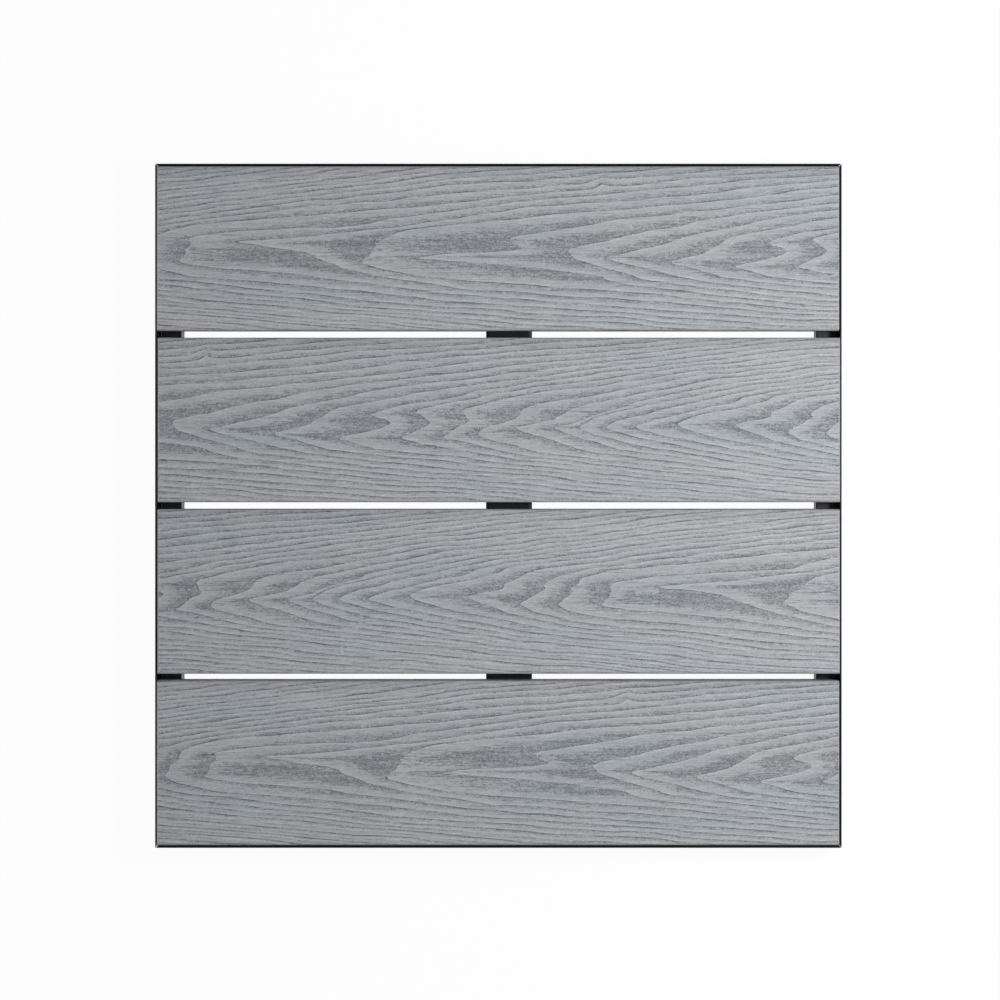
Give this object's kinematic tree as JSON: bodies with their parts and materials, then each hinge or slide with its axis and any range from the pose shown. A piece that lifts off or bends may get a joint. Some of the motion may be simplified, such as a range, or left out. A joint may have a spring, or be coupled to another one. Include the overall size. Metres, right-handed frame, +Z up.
{
  "type": "modular deck tile",
  "caption": "Square deck tile: embossed grey composite boards laid with drainage gaps in a mitred black aluminium frame with a joist and rubber-padded feet.",
  "frame": {"origin": "the point under the middle of the tile, on the plane that the foot pads stand on", "axes": "+X along the boards (to the right in the picture), +Y across the boards (up in the picture), +Z up out of the walking face"},
  "size_m": [0.6, 0.598, 0.0478],
  "materials": {
    "board": "grey wood-plastic composite, embossed with a brushed wood grain",
    "frame": "extruded aluminium, satin black powder coat",
    "foot": "black moulded glass-filled nylon",
    "pad": "black moulded rubber",
    "cleat": "folded steel angle, black coated",
    "screw": "plain stainless steel screw",
    "rivet": "plain aluminium blind rivet"
  },
  "bodies": {
    "root": {"board_1": "board", "board_2": "board", "board_3": "board", "board_4": "board", "side_rail_left": "frame", "side_rail_right": "frame", "end_rail_front": "frame", "end_rail_back": "frame", "centre_joist": "frame", "corner_foot_1": "foot", "corner_foot_2": "foot", "corner_foot_3": "foot", "corner_foot_4": "foot", "centre_foot": "foot", "foot_pad_1": "pad", "foot_pad_2": "pad", "foot_pad_3": "pad", "foot_pad_4": "pad", "foot_pad_centre": "pad", "joist_cleat_1": "cleat", "joist_cleat_2": "cleat", "joist_cleat_3": "cleat", "joist_cleat_4": "cleat", "board_screws_left": "screw", "board_screws_centre": "screw", "board_screws_right": "screw", "corner_foot_screws": "screw", "centre_foot_screws": "screw", "cleat_rivets": "rivet"}
  },
  "joints": []
}
